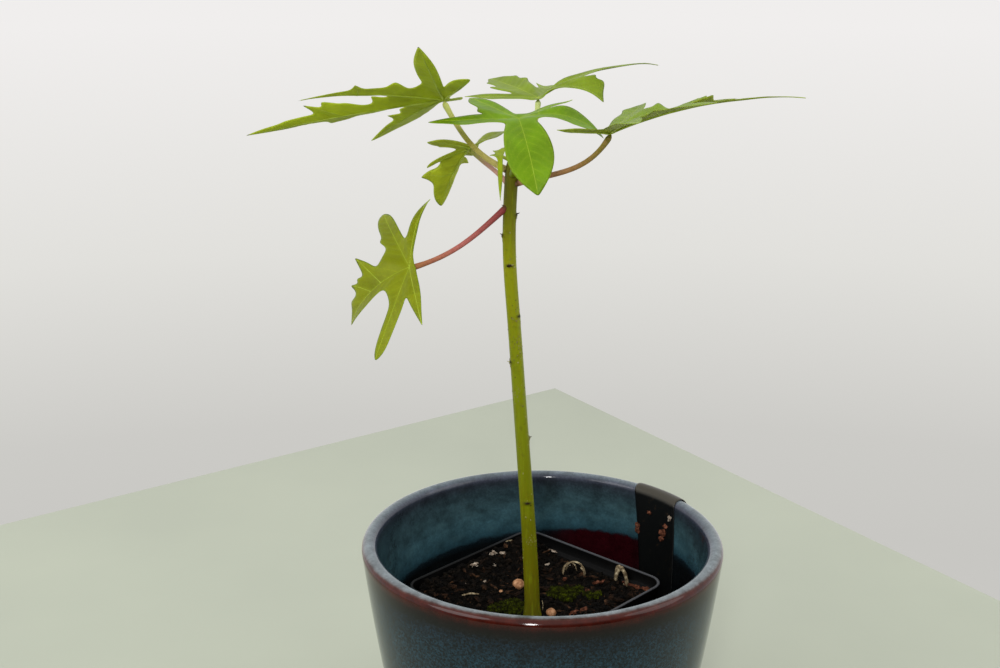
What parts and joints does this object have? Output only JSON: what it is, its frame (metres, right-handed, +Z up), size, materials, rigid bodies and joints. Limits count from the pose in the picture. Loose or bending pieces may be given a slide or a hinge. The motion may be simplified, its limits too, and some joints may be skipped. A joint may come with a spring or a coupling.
{
  "type": "papaya seedling in a pot",
  "caption": "Young papaya plant with lobed leaves on a slim stem, in a square nursery pot inside a round glazed ceramic pot.",
  "frame": {"origin": "middle of the ceramic pot's flat underside", "axes": "+Z up along the stem, -Y towards the viewer of the reference view, +X to the viewer's right"},
  "size_m": [0.1914, 0.14, 0.2991],
  "materials": {
    "reactive_glaze": "glossy mottled blue-green glaze, red-brown at the rim",
    "nursery_plastic": "satin black",
    "strap_plastic": "satin black with specks of soil",
    "potting_mix": "damp crumbly dark mix",
    "green_stem": "waxy green skin with leaf scars",
    "petiole_skin": "smooth, pinkish brown to pale green",
    "leaf_blade": "satin green with paler veins"
  },
  "bodies": {
    "root": {"ceramic_pot": "reactive_glaze", "nursery_pot": "nursery_plastic", "strap": "strap_plastic", "soil": "potting_mix", "stem": "green_stem", "petiole_left_high": "petiole_skin", "petiole_back_high": "petiole_skin", "petiole_right_high": "petiole_skin", "petiole_front": "petiole_skin", "petiole_left_back": "petiole_skin", "petiole_left_low": "petiole_skin", "petiole_young": "petiole_skin", "blade_left_high": "leaf_blade", "blade_back_high": "leaf_blade", "blade_right_high": "leaf_blade", "blade_front": "leaf_blade", "blade_left_back": "leaf_blade", "blade_left_low": "leaf_blade", "blade_young": "leaf_blade"}
  },
  "joints": []
}
